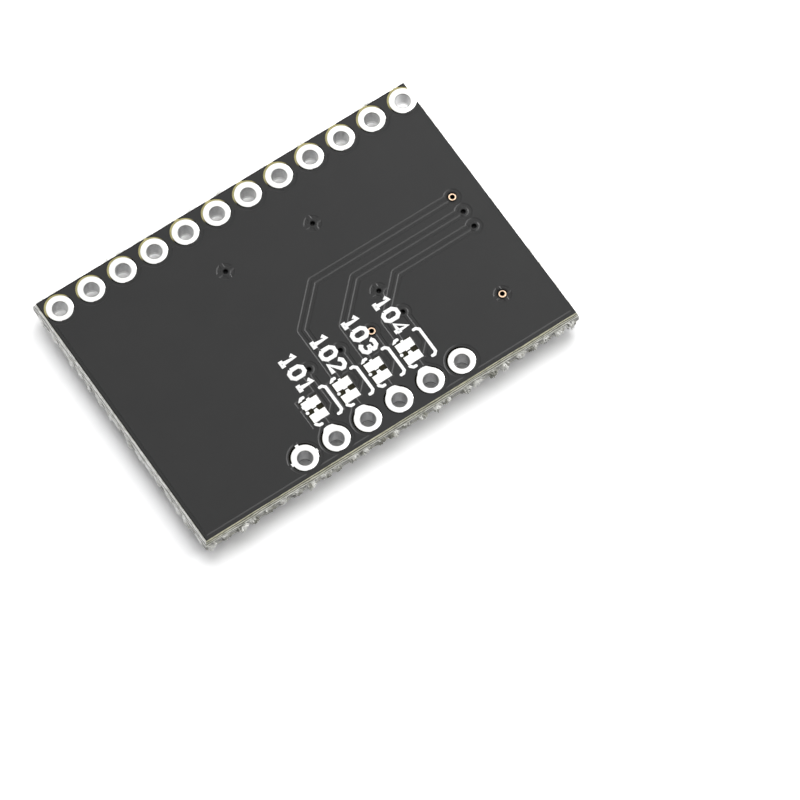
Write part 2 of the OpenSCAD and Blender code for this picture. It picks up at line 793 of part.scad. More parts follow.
// Windows where the strip between a touch ring's opening and the far edge is too narrow to
// hold: the skew makes that edge come nearer from left to right
module broken_webs() {
    for (i = [1:touch_count]) {
        x = touch_x(i) + mask_shift_x;
        y = touch_y + mask_shift_y;
        room = face_d / 2 - x * tan(far_skew) - least_web - y;
        if (room < opening_r) {
            half_w = sqrt(opening_r * opening_r - room * room);
            translate([x - half_w, y]) square([2 * half_w, pitch]);
        }
    }
}

module front_mask_area() {
    difference() {
        face();
        at_touch_terminals() ring_opening();
        broken_webs();
        at_supply_terminals() ring_opening();
        front_land_areas(pad_mask_gap / 2);
        at_signal_vias() circle(r = via_r);
        at_ground_vias() circle(r = via_r);
    }
}

// Moulded body of the chip, with its first contact marked by a dimple
module sensor_chip() {
    dimple_r = chip_w / 15;
    color([0.12, 0.12, 0.12]) difference() {
        translate([chip_x - chip_w / 2, chip_y - chip_w / 2, seat_z - chip_t]) cube([chip_w, chip_w, chip_t]);
        chip_contacts();
        chip_heat_pad();
        translate([chip_x - chip_w / 3, chip_y + chip_w / 3, seat_z - chip_t - over])
            cylinder(r = dimple_r, h = over + dimple_r / 4);
    }
}

module chip_contacts() {
    color("silver") translate([0, 0, seat_z - lead_t]) linear_extrude(lead_t) at_chip_contacts()
        translate([-lead_l, -lead_w / 2]) square([lead_l, lead_w]);
}

module chip_heat_pad() {
    color("silver") translate([chip_x - heat_pad_w / 2, chip_y - heat_pad_w / 2, seat_z - lead_t])
        cube([heat_pad_w, heat_pad_w, lead_t]);
}

module place_part(place) {
    translate([place.x, place.y, seat_z]) rotate(place.z) children();
}

// Block of a chip part below its seat: full size, or without its metal ends' plating
module part_block(height, inset = 0) {
    translate([inset - part_l / 2, inset - part_w / 2, inset - height])
        cube([part_l - 2 * inset, part_w - 2 * inset, height - 2 * inset]);
}

module part_ends(height) {
    for (side = [0, 1]) mirror([side, 0, 0]) difference() {
        translate([part_l / 2 - end_l, -part_w / 2, -height]) cube([end_l, part_w, height]);
        part_block(height, end_t);
    }
}

module capacitor_body(i) {
    color("tan") place_part(capacitor_places[i - 1]) part_block(capacitor_t, end_t);
}

module capacitor_ends(i) {
    color("silver") place_part(capacitor_places[i - 1]) part_ends(capacitor_t);
}

module resistor_body(i) {
    color("white") place_part(resistor_places[i - 1]) part_block(resistor_t, end_t);
}

module resistor_ends(i) {
    color("silver") place_part(resistor_places[i - 1]) part_ends(resistor_t);
}

// Glazed film over the resistive layer, between the ends
module resistor_coat(i) {
    color([0.1, 0.1, 0.1]) place_part(resistor_places[i - 1])
        translate([end_l - part_l / 2, end_t - part_w / 2, -resistor_t])
            cube([part_l - 2 * end_l, part_w - 2 * end_t, end_t]);
}

// Solder under every contact, rising in a hollow fillet at the ends of the small parts
module solder_fillets() {
    color("lightgray") {
        translate([0, 0, seat_z]) linear_extrude(solder_t) front_land_areas();
        for (place = capacitor_places) place_part(place) end_fillets(capacitor_t);
        for (place = resistor_places) place_part(place) end_fillets(resistor_t);
    }
}

module end_fillets(height) {
    rise = min(toe_l, 0.6 * height);
    for (side = [0, 1]) mirror([side, 0, 0]) translate([part_l / 2, part_w / 2, 0]) rotate([90, 0, 0])
        linear_extrude(part_w) difference() {
            translate([0, -rise]) square([rise, rise]);
            translate([rise, -rise]) circle(r = rise * 0.99);
        }
}

woven_glass_core();
rear_ground_plane();
rear_traces();
rear_solder_mask();
rear_legend();
front_ground_plane();
front_traces();
front_solder_mask();
front_lands();
signal_vias();
ground_vias();
sensor_chip();
chip_contacts();
chip_heat_pad();
solder_fillets();
for (i = [1:touch_count]) touch_terminal(i);
for (i = [1:supply_count]) supply_terminal(i);
for (i = [1:jumper_count]) solder_jumper(i);
for (i = [1:capacitor_count]) capacitor_body(i);
for (i = [1:capacitor_count]) capacitor_ends(i);
for (i = [1:resistor_count]) resistor_body(i);
for (i = [1:resistor_count]) resistor_ends(i);
for (i = [1:resistor_count]) resistor_coat(i);
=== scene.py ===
import math

import bmesh
import bpy
import numpy as np
from mathutils import Matrix, Vector


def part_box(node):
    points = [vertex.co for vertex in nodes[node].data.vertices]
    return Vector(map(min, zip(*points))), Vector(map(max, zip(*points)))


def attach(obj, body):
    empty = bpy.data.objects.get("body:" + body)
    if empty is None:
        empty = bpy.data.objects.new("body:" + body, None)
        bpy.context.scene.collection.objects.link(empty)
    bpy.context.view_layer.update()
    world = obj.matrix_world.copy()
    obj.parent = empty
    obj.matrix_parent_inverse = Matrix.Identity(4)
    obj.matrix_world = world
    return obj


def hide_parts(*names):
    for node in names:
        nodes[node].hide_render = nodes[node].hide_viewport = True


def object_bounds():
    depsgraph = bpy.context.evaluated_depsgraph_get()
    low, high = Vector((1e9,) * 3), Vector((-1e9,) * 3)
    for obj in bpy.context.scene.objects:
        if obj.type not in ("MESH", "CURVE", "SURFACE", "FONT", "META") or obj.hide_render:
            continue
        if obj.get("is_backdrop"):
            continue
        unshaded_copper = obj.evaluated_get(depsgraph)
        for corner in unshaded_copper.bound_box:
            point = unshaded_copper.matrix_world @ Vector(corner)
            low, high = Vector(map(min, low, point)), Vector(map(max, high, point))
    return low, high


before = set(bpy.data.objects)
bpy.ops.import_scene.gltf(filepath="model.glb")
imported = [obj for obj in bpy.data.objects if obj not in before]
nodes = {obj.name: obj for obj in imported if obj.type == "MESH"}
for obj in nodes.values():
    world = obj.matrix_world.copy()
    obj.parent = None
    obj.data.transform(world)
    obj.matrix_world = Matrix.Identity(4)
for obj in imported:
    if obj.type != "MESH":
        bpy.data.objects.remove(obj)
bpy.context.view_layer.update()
MM = 0.001

# The board lies with its parts down on a sheet of white paper, under a large soft lamp on
# the far right and two weaker ones, in a pale room. A row of small lamps lights nothing and
# only shows in the lacquer's slopes. The paper looks white, and keeps the board's shadow.
bpy.context.scene.view_settings.view_transform = "Standard"


def wire(tree, kind, sockets, **settings):
    """A node of a tree with its sockets linked or set."""
    made = tree.nodes.new(kind)
    for name, value in settings.items():
        setattr(made, name, value)
    for key, value in sockets.items():
        socket = made.inputs[key]
        if isinstance(value, bpy.types.NodeSocket):
            tree.links.new(value, socket)
        else:
            socket.default_value = value
    return made


def number(tree, operation, *values):
    """The result of a sum on one, two or three numbers or fields."""
    return wire(tree, "ShaderNodeMath", dict(enumerate(values)), operation=operation).outputs[0]


def spread(tree, value, start, end, first=0.0, last=1.0):
    """Runs from first to last while the value runs from start to end, and holds at both."""
    return wire(tree, "ShaderNodeMapRange", {
        "Value": value, "From Min": start, "From Max": end, "To Min": first, "To Max": last}).outputs[0]


def hold(name, mesh):
    """A mesh as an object of the scene, with its place in its points."""
    made = bpy.data.objects.new(name, mesh)
    bpy.context.scene.collection.objects.link(made)
    return made


def looked_at(tree):
    """1 for the eye and for a mirror, 0 for the light that a surface throws on others."""
    ray = tree.nodes.new("ShaderNodeLightPath")
    return number(tree, "ADD", ray.outputs["Is Camera Ray"], ray.outputs["Is Glossy Ray"])


paper = bpy.data.materials.new("white_paper")
paper.use_nodes = True
tree = paper.node_tree
tree.nodes.clear()
seen = looked_at(tree)
plain = wire(tree, "ShaderNodeBsdfDiffuse", {"Color": (0.83, 0.83, 0.835, 1)})
white = wire(tree, "ShaderNodeBsdfDiffuse", {"Color": (1.24, 1.24, 1.25, 1)})
glow = wire(tree, "ShaderNodeEmission", {"Color": (1, 1, 1, 1), "Strength": 0.02})
whiter = wire(tree, "ShaderNodeAddShader", {0: white.outputs[0], 1: glow.outputs[0]})
either = wire(tree, "ShaderNodeMixShader", {0: seen, 1: plain.outputs[0], 2: whiter.outputs[0]})
wire(tree, "ShaderNodeOutputMaterial", {"Surface": either.outputs[0]})
half = 600 * MM
sheet = bpy.data.meshes.new("paper_sheet")
sheet.from_pydata(
    [(-half, -half, 0), (half, -half, 0), (half, half, 0), (-half, half, 0)], [], [(0, 1, 2, 3)])
sheet.materials.append(paper)
hold("paper_sheet", sheet)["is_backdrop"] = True

room = bpy.data.worlds.new("pale_room")
room.use_nodes = True
tree = room.node_tree
tree.nodes.clear()
level = spread(tree, looked_at(tree), 0.0, 1.0, 0.385, 1.0)
air = wire(tree, "ShaderNodeBackground", {"Color": (1, 1, 1, 1), "Strength": level})
wire(tree, "ShaderNodeOutputWorld", {"Surface": air.outputs[0]})
bpy.context.scene.world = room


def hang_lamp(name, azimuth, elevation, distance, width, watts, lights=True, mirrored=True):
    """A square soft lamp that looks at the board; azimuth turns from +X towards +Y."""
    lamp = bpy.data.lights.new(name, "AREA")
    lamp.shape = "SQUARE"
    lamp.size = width
    lamp.energy = watts
    made = bpy.data.objects.new(name, lamp)
    a, e = math.radians(azimuth), math.radians(elevation)
    way = Vector((math.cos(e) * math.cos(a), math.cos(e) * math.sin(a), math.sin(e)))
    turn = way.to_track_quat("Z", "Y").to_matrix().to_4x4()
    made.matrix_world = Matrix.Translation(way * distance) @ turn
    made.visible_diffuse = lights
    made.visible_glossy = mirrored
    bpy.context.scene.collection.objects.link(made)


lamp_distance = 0.42
line_lamp_width = 0.08
hang_lamp("soft_box", 57, 66, 0.45, 0.46, 1.75, mirrored=False)
hang_lamp("near_fill", -25, 38, lamp_distance, 0.12, 0.33, mirrored=False)
hang_lamp("far_lamp", 40, 52, lamp_distance, 0.1, 0.12)
line_lamps = [(-63, 60, 0.14), (-34, 51, 0.18), (-12, 43, 0.18), (6, 34, 0.2), (22, 27, 0.2)]
for place, (azimuth, elevation, watts) in enumerate(line_lamps):
    name = "line_lamp_" + str(place + 1)
    hang_lamp(name, azimuth, elevation, lamp_distance, line_lamp_width, watts, lights=False)

lens = bpy.data.cameras.new("photo_camera")
lens.sensor_width = 36
lens.lens = 312.65
lens.clip_start = 0.01
camera = bpy.data.objects.new("photo_camera", lens)
azimuth, elevation = math.radians(-34.025), math.radians(66.107)
camera_distance = 0.4666
aim = Vector((1.475, -9.155, 2.515)) * MM
back = Vector((
    math.sin(azimuth) * math.cos(elevation), -math.cos(azimuth) * math.cos(elevation),
    math.sin(elevation)))
right = Vector((math.cos(azimuth), math.sin(azimuth), 0))
turn = Matrix((right, back.cross(right), back)).transposed().to_4x4()
camera.matrix_world = Matrix.Translation(aim + back * camera_distance) @ turn
bpy.context.scene.collection.objects.link(camera)
bpy.context.scene.camera = camera

# The core is glass cloth in epoxy resin, scored on both faces along every edge and snapped
# out of its panel. Where the lacquer leaves its faces bare they are painted in shade, near
# black, except a painted lit olive crescent on the far left side of each touch ring. The
# scored slopes show the pale plies, and the broken web between them is grey and rough.


def dress(material, *names):
    """The CAD nodes of those names in that material."""
    for name in names:
        for place in nodes[name].material_slots:
            place.material = material


def fresh(name, roughness, metallic=0.0):
    """A new material with a bare shader, and its tree."""
    material = bpy.data.materials.new(name)
    material.use_nodes = True
    shader = material.node_tree.nodes["Principled BSDF"]
    shader.inputs["Roughness"].default_value = roughness
    shader.inputs["Metallic"].default_value = metallic
    shader.inputs["IOR"].default_value = 1.46
    return material, material.node_tree, shader


def in_mm(tree, stretch=(1, 1, 1)):
    """Object coordinates in millimetres, stretched along each axis."""
    spot = tree.nodes.new("ShaderNodeTexCoord")
    scale = tuple(1000 * s for s in stretch)
    return wire(tree, "ShaderNodeMapping", {"Vector": spot.outputs["Object"], "Scale": scale}).outputs[0]


def split(tree, vector):
    """The three parts of a vector."""
    return wire(tree, "ShaderNodeSeparateXYZ", {0: vector}).outputs


def facing(tree, axis):
    """How squarely a surface faces along an axis, from 0 to 1."""
    normal = tree.nodes.new("ShaderNodeNewGeometry").outputs["Normal"]
    return number(tree, "ABSOLUTE", split(tree, normal)[axis])


def clouds(tree, scale, detail, stretch=(1, 1, 1)):
    """A cloudy pattern on the piece, finer with a larger scale."""
    spot = in_mm(tree, stretch)
    return wire(tree, "ShaderNodeTexNoise", {"Vector": spot, "Scale": scale, "Detail": detail}).outputs[0]


def shades(tree, factor, *stops):
    """A colour that runs through the stops, each a place and a colour."""
    ramp = wire(tree, "ShaderNodeValToRGB", {"Fac": factor})
    band = ramp.color_ramp
    while len(band.elements) < len(stops):
        band.elements.new(0.5)
    for element, (at, colour) in zip(band.elements, stops):
        element.position = at
        element.color = (*colour, 1)
    return ramp.outputs[0]


def either_colour(tree, factor, first, second, blend="MIX"):
    """The first colour where the factor is 0 and the second where it is 1."""
    sockets = {0: factor, 6: first, 7: second}
    return wire(tree, "ShaderNodeMix", sockets, data_type="RGBA", blend_type=blend).outputs[2]


def relief(tree, shader, height, depth, strength=1.0):
    """Bumps of that depth, in millimetres, on a shader."""
    bump = wire(tree, "ShaderNodeBump", {"Height": height, "Distance": depth * MM, "Strength": strength})
    tree.links.new(bump.outputs[0], shader.inputs["Normal"])


pitch = 2.54
low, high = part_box("touch_terminal_1")
first_ring = (low + high) / 2 / MM


def lit_crescents(tree, spot, low, high):
    """1 on the far left side of each touch ring, where the bare laminate is painted lit, and 0 on its
    near right side, where it is painted in shade.
    """
    far_left = (-0.27, 0.96, 0.0)
    row_half_width = 1.5
    across = number(tree, "WRAP", spot[0], first_ring.x + pitch / 2, first_ring.x - pitch / 2)
    across = number(tree, "SUBTRACT", across, first_ring.x)
    along = number(tree, "SUBTRACT", spot[1], first_ring.y)
    flat = wire(tree, "ShaderNodeCombineXYZ", {0: across, 1: along})
    way = wire(tree, "ShaderNodeVectorMath", {0: flat.outputs[0]}, operation="NORMALIZE")
    turn = wire(tree, "ShaderNodeVectorMath", {0: way.outputs[0], 1: far_left}, operation="DOT_PRODUCT")
    side = spread(tree, turn.outputs["Value"], low, high)
    row = number(tree, "GREATER_THAN", spot[1], first_ring.y - row_half_width)
    return number(tree, "MULTIPLY", side, row)


mid_height = 1.715
laminate, tree, shader = fresh("glass_laminate", 0.55)
spot = split(tree, in_mm(tree))
streak = clouds(tree, 3.0, 6, stretch=(0.3, 0.3, 6))
fleck = clouds(tree, 5.0, 3, stretch=(0.55, 0.55, 2.2))
wave = clouds(tree, 1.0, 2, stretch=(0.6, 0.6, 3.0))
depth = number(tree, "ABSOLUTE", number(tree, "SUBTRACT", spot[2], mid_height))
ply_wave = 0.24
waver = number(tree, "SUBTRACT", number(tree, "MULTIPLY_ADD", wave, ply_wave, depth), 0.06)
height = spread(tree, waver, 0.06, 0.86)
ends = shades(tree, fleck, (0.42, (0.16, 0.16, 0.15)), (0.56, (0.46, 0.46, 0.43)))
snapped = shades(tree, height, (0.28, (0, 0, 0)), (0.36, (1, 1, 1)))
tan = shades(
    tree, height,
    (0.34, (0.45, 0.45, 0.40)), (0.37, (0.90, 0.90, 0.84)), (0.46, (0.88, 0.88, 0.80)),
    (0.50, (0.12, 0.12, 0.10)), (0.57, (0.14, 0.14, 0.11)), (0.61, (0.80, 0.80, 0.68)),
    (0.72, (0.66, 0.66, 0.54)), (0.76, (0.10, 0.10, 0.07)), (0.83, (0.13, 0.12, 0.08)),
    (0.87, (0.80, 0.79, 0.58)), (0.99, (0.62, 0.60, 0.42)))
chalk = shades(
    tree, height,
    (0.34, (0.30, 0.30, 0.28)), (0.40, (0.97, 0.97, 0.95)), (0.47, (0.95, 0.95, 0.92)),
    (0.50, (0.22, 0.22, 0.20)), (0.57, (0.24, 0.24, 0.22)), (0.60, (0.98, 0.98, 0.96)),
    (0.90, (0.98, 0.98, 0.95)), (0.98, (0.80, 0.80, 0.70)))
endways = number(tree, "GREATER_THAN", facing(tree, 0), facing(tree, 1))
scored = either_colour(tree, endways, tan, chalk)
specks = shades(
    tree, fleck, (0.36, (0.52, 0.52, 0.50)), (0.50, (0.94, 0.94, 0.93)), (0.62, (1, 1, 1)))
scored = either_colour(tree, 1.0, scored, specks, blend="MULTIPLY")
side = either_colour(tree, snapped, ends, scored)
olive = shades(tree, fleck, (0.3, (0.27, 0.24, 0.085)), (0.7, (0.43, 0.39, 0.17)))
# Painted shade: the bare laminate is darker still beside the rows of rings.
shade_near_rings = spread(tree, number(tree, "ABSOLUTE", spot[1]), 7.4, 7.6)
shaded = shades(tree, shade_near_rings, (0.0, (0.030, 0.028, 0.018)), (1.0, (0.006, 0.005, 0.003)))
# Painted light: an olive crescent on the far left side of each touch ring, the rest of the bare face in
# painted shade.
lit = lit_crescents(tree, spot, 0.1, 0.5)
face = either_colour(tree, lit, shaded, olive)
level = number(tree, "GREATER_THAN", facing(tree, 2), 0.97)
outer = number(tree, "GREATER_THAN", depth, 0.7)
top = number(tree, "MULTIPLY", level, outer)
tree.links.new(either_colour(tree, top, side, face), shader.inputs["Base Color"])
# Painted shade: away from the lit crescents, the bare face is made a near black mirror.
unlit = number(tree, "MULTIPLY", top, number(tree, "SUBTRACT", 1.0, lit))
tree.links.new(unlit, shader.inputs["Metallic"])
relief(tree, shader, streak, 0.06, 0.8)
dress(laminate, "woven_glass_core")

# The break pulled the yarns that cross the web out as small brushes of glass fibres, one
# for each yarn, along the near and far edges, and peeled threads loose along the sides.
# Their roots are still fast in the resin. Those of the near edge are painted greyer, with dark
# patches, as painted shade on that side.
near_side = -10.55
fibre, tree, shader = fresh("broken_glass_fibre", 0.5)
pale = shades(tree, clouds(tree, 2.2, 3), (0.32, (0.66, 0.66, 0.61)), (0.52, (0.98, 0.98, 0.97)))
# Painted shade: the near edge's fibres are greyer, with dark patches.
shaded_grey = shades(tree, clouds(tree, 1.5, 2), (0.42, (0.30, 0.30, 0.26)), (0.58, (0.86, 0.86, 0.83)))
near = number(tree, "LESS_THAN", split(tree, in_mm(tree))[1], near_side)
tree.links.new(either_colour(tree, near, pale, shaded_grey), shader.inputs["Base Color"])


def chance(tree, low, high, seed, **key):
    """A fixed random number for each fibre, or for each key."""
    made = wire(tree, "FunctionNodeRandomValue", {2: low, 3: high, "Seed": seed, **key})
    return made.outputs[1]


def torn_edge(name, tree, inputs, matrix):
    """Fibres along an edge, from the tree of that edge, as a plain mesh."""
    grown = hold(name + "_grown", bpy.data.meshes.new(name))
    modifier = grown.modifiers.new("fibres", "NODES")
    modifier.node_group = tree
    for item in tree.interface.items_tree:
        if item.item_type == "SOCKET" and item.in_out == "INPUT" and item.name in inputs:
            modifier[item.identifier] = inputs[item.name]
    graph = bpy.context.evaluated_depsgraph_get()
    mesh = bpy.data.meshes.new_from_object(grown.evaluated_get(graph))
    bpy.data.objects.remove(grown)
    mesh.transform(matrix)
    made = hold(name, mesh)
    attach(made, "root")


def fibre_tree(name, sizes):
    """An empty tree with named sizes and a mesh as its result."""
    tree = bpy.data.node_groups.new(name, "GeometryNodeTree")
    for size, (kind, value) in sizes.items():
        socket = tree.interface.new_socket(size, in_out="INPUT", socket_type=kind)
        socket.default_value = value
    tree.interface.new_socket("Geometry", in_out="OUTPUT", socket_type="NodeSocketGeometry")
    return tree, tree.nodes.new("NodeGroupInput").outputs


def vector(tree, *parts):
    """A vector from three numbers or fields."""
    return wire(tree, "ShaderNodeCombineXYZ", dict(enumerate(parts))).outputs[0]


def product(tree, *values):
    """All the values multiplied, in their order."""
    result = values[0]
    for value in values[1:]:
        result = number(tree, "MULTIPLY", result, value)
    return result


def group_of(tree, index, members, groups):
    """The group that each point belongs to, and that group's place from the middle."""
    group = number(tree, "FLOOR", number(tree, "DIVIDE", index, members))
    middle = product(tree, number(tree, "SUBTRACT", groups, 1.0), 0.5)
    return group, number(tree, "SUBTRACT", group, middle)


def thicken(tree, hairs, thickness):
    """Curves of one thickness as painted mesh, which ends the tree."""
    plain = wire(tree, "GeometryNodeRealizeInstances", {0: hairs})
    even = wire(tree, "GeometryNodeSetCurveRadius", {"Curve": plain.outputs[0], "Radius": 1.0})
    girth = wire(tree, "GeometryNodeCurvePrimitiveCircle", {
        "Resolution": 5, "Radius": number(tree, "MULTIPLY", thickness, 0.5)})
    mesh = wire(tree, "GeometryNodeCurveToMesh", {
        "Curve": even.outputs[0], "Profile Curve": girth.outputs[0], "Fill Caps": True})
    solid = wire(tree, "GeometryNodeRealizeInstances", {0: mesh.outputs[0]})
    painted = wire(tree, "GeometryNodeSetMaterial", {"Geometry": solid.outputs[0], "Material": fibre})
    wire(tree, "NodeGroupOutput", {0: painted.outputs[0]})


brush, size = fibre_tree("yarn_ends", {
    "Yarns": ("NodeSocketInt", 27),
    "Fibres per yarn": ("NodeSocketInt", 38),
    "Pitch": ("NodeSocketFloat", 1.12 * MM),
    "Width": ("NodeSocketFloat", 0.86 * MM),
    "Reach": ("NodeSocketFloat", 0.36 * MM),
    "Height": ("NodeSocketFloat", 0.50 * MM),
    "Thickness": ("NodeSocketFloat", 0.1 * MM)})
index = brush.nodes.new("GeometryNodeInputIndex").outputs[0]
yarn, place = group_of(brush, index, size["Fibres per yarn"], size["Yarns"])
place = number(brush, "ADD", place, chance(brush, -0.2, 0.2, 2, ID=yarn))
across = chance(brush, -1.0, 1.0, 3)
along = number(
    brush, "ADD", product(brush, place, size["Pitch"]), product(brush, across, size["Width"], 0.5))
ply = product(brush, number(brush, "FLOOR", chance(brush, 0.0, 2.99, 4)), 0.5, 0.8)
rise = product(brush, number(brush, "ADD", ply, chance(brush, 0.0, 0.2, 5)), size["Height"])
spots = wire(brush, "GeometryNodePoints", {
    "Count": product(brush, size["Yarns"], size["Fibres per yarn"]),
    "Position": vector(brush, along, 0.0, rise)})
crown = number(brush, "SUBTRACT", 1.0, product(brush, across, across, 0.6))
share = product(brush, chance(brush, 0.6, 1.0, 8), chance(brush, 0.4, 1.0, 9, ID=yarn))
length = product(brush, crown, share, size["Reach"])
hair = wire(brush, "GeometryNodeCurvePrimitiveBezierSegment", {
    "Resolution": 3, "Start": (0, 0.6, 0), "Start Handle": (0, 0, 0), "End Handle": (0.1, -0.6, 0.15),
    "End": (0.25, -1, -0.1)})
tufts = wire(brush, "GeometryNodeInstanceOnPoints", {
    "Points": spots.outputs[0], "Instance": hair.outputs[0],
    "Rotation": vector(brush, chance(brush, -0.3, 0.3, 11), 0.0, chance(brush, -0.6, 0.6, 13)),
    "Scale": vector(brush, length, length, length)})
thicken(brush, tufts.outputs[0], size["Thickness"])

thread, size = fibre_tree("peeled_threads", {
    "Bundles": ("NodeSocketInt", 17),
    "Threads per bundle": ("NodeSocketInt", 16),
    "Pitch": ("NodeSocketFloat", 1.18 * MM),
    "Length": ("NodeSocketFloat", 0.95 * MM),
    "Peel": ("NodeSocketFloat", 0.22 * MM),
    "Height": ("NodeSocketFloat", 0.5 * MM),
    "Thickness": ("NodeSocketFloat", 0.06 * MM)})
index = thread.nodes.new("GeometryNodeInputIndex").outputs[0]
bundle, place = group_of(thread, index, size["Threads per bundle"], size["Bundles"])
place = number(thread, "ADD", place, chance(thread, -0.25, 0.25, 15, ID=bundle))
along = product(thread, number(thread, "ADD", place, chance(thread, -0.2, 0.2, 19)), size["Pitch"])
rise = product(thread, chance(thread, 0.0, 1.0, 23), size["Height"])
spots = wire(thread, "GeometryNodePoints", {
    "Count": product(thread, size["Bundles"], size["Threads per bundle"]),
    "Position": vector(thread, 0.0, along, rise)})
strand = wire(thread, "GeometryNodeCurvePrimitiveBezierSegment", {
    "Resolution": 6, "Start": (0.15, 0.5, 0), "Start Handle": (-0.1, 0.2, 0.1),
    "End Handle": (-0.3, -0.2, -0.2), "End": (-1.0, -0.5, -0.4)})
length = product(thread, chance(thread, 0.4, 1.0, 31), size["Length"])
peel = product(
    thread, chance(thread, 0.0, 1.0, 33), chance(thread, 0.3, 1.0, 35, ID=bundle), size["Peel"])
strands = wire(thread, "GeometryNodeInstanceOnPoints", {
    "Points": spots.outputs[0], "Instance": strand.outputs[0],
    "Rotation": vector(thread, chance(thread, -0.1, 0.1, 29)),
    "Scale": vector(thread, peel, length, peel)})
thicken(thread, strands.outputs[0], size["Thickness"])

web_face = 10.6 * MM
tuft_foot, thread_foot = 1.44 * MM, 1.46 * MM
low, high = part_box("woven_glass_core")
half_turn = Matrix.Rotation(math.pi, 4, "Z")
quarter_turn = Matrix.Rotation(math.pi / 2, 4, "Z")
far_skew = Matrix.Rotation(math.radians(-0.15), 4, "Z")
torn_edge("near_edge_fibres", brush, {"Width": 0.62 * MM, "Reach": 0.44 * MM},
          Matrix.Translation((0, -web_face, tuft_foot)))
torn_edge("far_edge_fibres", brush, {},
          far_skew @ Matrix.Translation((0, web_face, tuft_foot)) @ half_turn)
flakes = {
    "Bundles": 25, "Threads per bundle": 14, "Pitch": 1.13 * MM, "Length": 0.5 * MM, "Peel": 0.26 * MM}
torn_edge("near_edge_flakes", thread, flakes,
          Matrix.Translation((0, -web_face, thread_foot)) @ quarter_turn)
torn_edge("left_edge_threads", thread, {}, Matrix.Translation((low.x, 0, thread_foot)))
torn_edge("right_edge_threads", thread, {},
          Matrix.Translation((high.x, 0, thread_foot)) @ half_turn)

# Copper foil is etched on both faces of the core, and plated vias join them. Most of it
# lies under the lacquer, and the bare rings of three vias have only a thin bright coat. Its
# walls and the throats of the bare vias are painted near black, as painted shade.
copper, tree, shader = fresh("etched_copper", 0.3, 1.0)
copper_top = 2.55
bare_vias = [(12.87, 1.36), (2.727, -3.875), (11.6, -6.52)]


def distance(tree, spot, *place):
    """How far a spot of the surface is from a place, in millimetres."""
    return wire(tree, "ShaderNodeVectorMath", {0: spot, 1: place}, operation="DISTANCE").outputs["Value"]


here = in_mm(tree)
throats = [distance(tree, here, x, y, copper_top) for x, y in bare_vias]
nearest = number(tree, "MINIMUM", number(tree, "MINIMUM", throats[0], throats[1]), throats[2])
open_face = spread(tree, nearest, 0.165, 0.195)
unshaded_copper = number(tree, "MULTIPLY", facing(tree, 2), open_face)
cloud = clouds(tree, 6.0, 4)
bright = shades(tree, cloud, (0.3, (0.90, 0.62, 0.42)), (0.7, (0.96, 0.72, 0.52)))
# Painted shade: copper walls and the throats of the bare vias are near black.
tree.links.new(either_colour(tree, unshaded_copper, (0.01, 0.006, 0.004, 1), bright), shader.inputs["Base Color"])
relief(tree, shader, cloud, 0.01)
dress(copper, "rear_ground_plane", "rear_traces", "front_ground_plane", "front_traces")
dress(copper, "signal_vias", "ground_vias")

# Black lacquer is poured over both faces, and sinks in a slope beside each edge of the
# copper, so that the plane's gaps and the traces show as fine lines. It is half glossy.
# Round the vias and along its rims at the board's edges it is painted darker, with its sheen
# taken away, as painted shade where it dips into the holes and over the edges.
lacquer, tree, shader = fresh("black_lacquer", 0.32)
lacquer_crest = 2.57
tented_vias = [(12.87, 0.045), (12.87, -1.27), (-2.353, -3.875), (0.187, -3.875), (5.267, -3.875),
               (-3.0, 5.326), (3.89, 5.026), (4.8, -1.675)]


def paint(tree, shader, factor, *stops):
    """The shades as the colour of a shader."""
    tree.links.new(shades(tree, factor, *stops), shader.inputs["Base Color"])


peel = clouds(tree, 5.0, 5)
haze = clouds(tree, 0.35, 4)
paint(tree, shader, haze, (0.3, (0.0058, 0.0059, 0.0060)), (0.7, (0.0075, 0.0075, 0.0075)))
tree.links.new(spread(tree, peel, 0.0, 1.0, 0.30, 0.34), shader.inputs["Roughness"])
unshaded_sheen = 1.0
here = in_mm(tree)
# Painted shade: the sheen is taken away round each via, so the lacquer shows darker there.
for x, y in bare_vias + tented_vias:
    low, high = (0.30, 0.48) if (x, y) in bare_vias else (0.16, 0.22)
    clear = spread(tree, distance(tree, here, x, y, lacquer_crest), low, high)
    unshaded_sheen = number(tree, "MULTIPLY", clear, unshaded_sheen)
spot = split(tree, here)
half_width, far_edge, far_slant = 14.96, 10.45, 0.0026
skewed = number(tree, "MULTIPLY_ADD", spot[0], far_slant, spot[1])
# Painted shade: the same along the lacquer's rims at the board's left, right and far edges.
shaded_rims = [(spot[0], -half_width, -half_width + 0.1), (spot[0], half_width, half_width - 0.08),
        (skewed, far_edge, far_edge - 0.09)]
for line, rim, inside in shaded_rims:
    unshaded_sheen = number(tree, "MULTIPLY", spread(tree, line, rim, inside), unshaded_sheen)
tree.links.new(number(tree, "SUBTRACT", 1.0, unshaded_sheen), shader.inputs["Metallic"])
relief(tree, shader, peel, 0.004, 0.5)


def merged(name):
    """A CAD node's mesh with its loose triangles joined, to be worked on."""
    form = bmesh.new()
    form.from_mesh(nodes[name].data)
    bmesh.ops.remove_doubles(form, verts=form.verts, dist=0.0002 * MM)
    return form


def hold_back(place, start, walls, slope):
    """Moves crest points back, a slope's width at least from each wall that they stand behind."""
    reach = 0.3 * MM
    foot, face = walls[:, :2], walls[:, 4:]
    run = walls[:, 2:4] - foot
    length = np.linalg.norm(run, axis=1)
    run /= length[:, None]
    for _ in range(3):
        for old, spot in zip(start, place):
            beyond = ((spot - foot) * face).sum(1)
            behind = ((old - foot) * face).sum(1)
            along = ((spot - foot) * run).sum(1)
            close = (beyond > -0.99 * slope) & (behind < 1e-7) & (behind > -reach)
            close &= (along > 0) & (along < length)
            if close.any():
                worst = np.argmax(np.where(close, beyond, -1))
                spot -= (beyond[worst] + slope) * face[worst]


